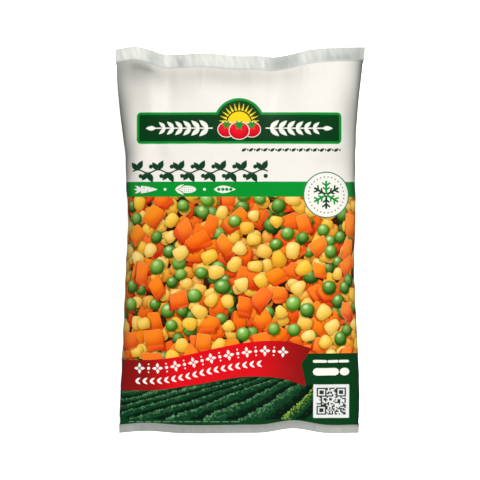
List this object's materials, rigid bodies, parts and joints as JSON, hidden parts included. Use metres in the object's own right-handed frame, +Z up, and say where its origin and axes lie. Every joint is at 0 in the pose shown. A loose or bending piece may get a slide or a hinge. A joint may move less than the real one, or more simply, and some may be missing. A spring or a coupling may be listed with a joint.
{
  "type": "frozen vegetable bag",
  "caption": "Shut plastic pillow bag of frozen mixed vegetables, lying on its back, with a flat crimped seal at each end and a pressed fin seal down its back.",
  "frame": {"origin": "bottom centre of the bounding box, on the surface that the bag lies on", "axes": "+X across the bag to the reader's right, +Y along the bag to its top seal, +Z up out of the printed side"},
  "size_m": [0.1818, 0.2824, 0.0459],
  "materials": {
    "film": "printed polyethylene film with a soft satin gloss: white above, then a green stripe, a picture of mixed vegetables and a dark green foot"
  },
  "bodies": {
    "root": {"bag": "film"}
  },
  "joints": []
}
